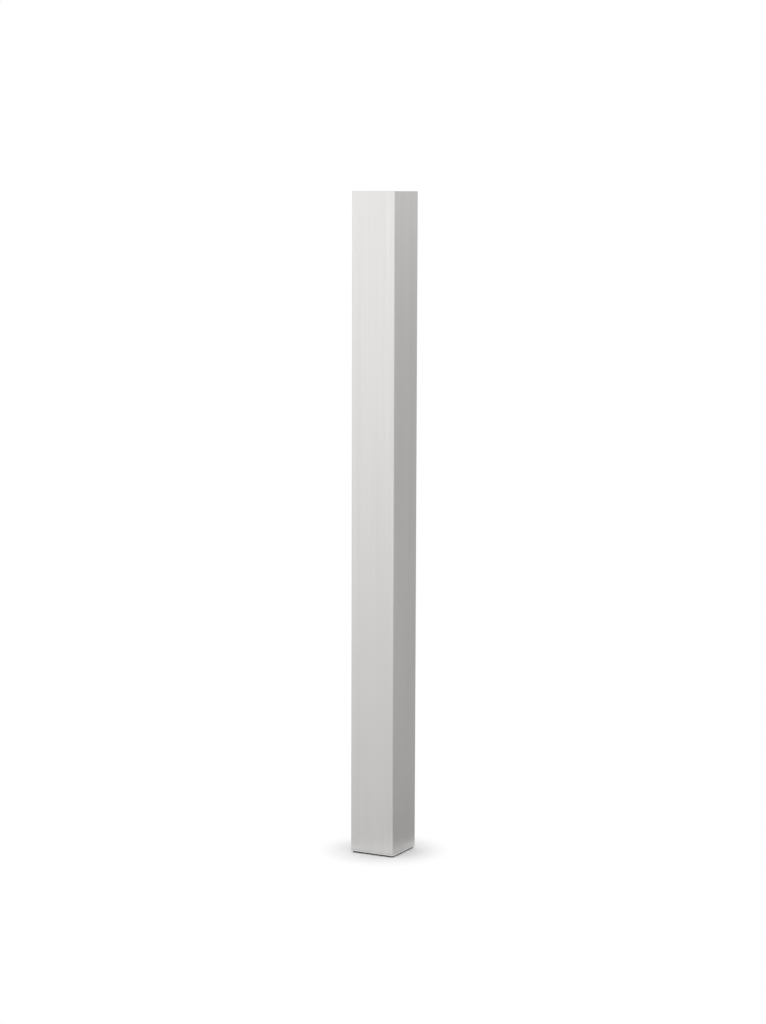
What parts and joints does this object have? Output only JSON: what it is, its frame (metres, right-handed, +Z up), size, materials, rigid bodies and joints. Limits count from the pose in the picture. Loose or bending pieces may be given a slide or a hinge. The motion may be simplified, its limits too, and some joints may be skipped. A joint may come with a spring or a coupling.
{
  "type": "square metal table leg",
  "caption": "Straight square metal table leg: a satin steel tube clamped to a hidden mounting plate that screws under a tabletop, with a levelling foot set into its lower end.",
  "frame": {"origin": "on the floor, under the middle of the leg", "axes": "+Z up the leg; X and Y square to its faces. The faces seen in the picture are -Y (wide, on the left) and +X (narrow, on the right)"},
  "size_m": [0.06, 0.06, 0.82],
  "materials": {
    "satin_steel": "satin silver grey with a very fine lengthwise grain",
    "cast_aluminium": "as cast, slightly rough",
    "black_steel": "black oxide",
    "zinc_steel": "bright zinc plating",
    "grey_plastic": "fine moulded texture",
    "black_plastic": "fine moulded texture"
  },
  "bodies": {
    "leg": {"leg_tube": "satin_steel", "mounting_plate": "cast_aluminium", "clamp_screw_left": "black_steel", "clamp_screw_back": "black_steel", "foot_insert": "grey_plastic", "spindle_nut": "zinc_steel"},
    "pad": {"foot_pad": "black_plastic"},
    "spindle": {"foot_spindle": "zinc_steel"}
  },
  "joints": [
    {"name": "foot_slide", "type": "slide", "parent": "leg", "child": "pad", "axis": [0, 0, -1], "range_m": [0, 0.02]},
    {"name": "spindle_turn", "type": "hinge", "parent": "pad", "child": "spindle", "pos_m": [0, 0, 0], "axis": [0, 0, -1], "range_deg": [0, 4800]}
  ],
  "couplings": [
    {"joint": "spindle_turn", "follows": "foot_slide", "rad_per_m": 4188.8}
  ]
}
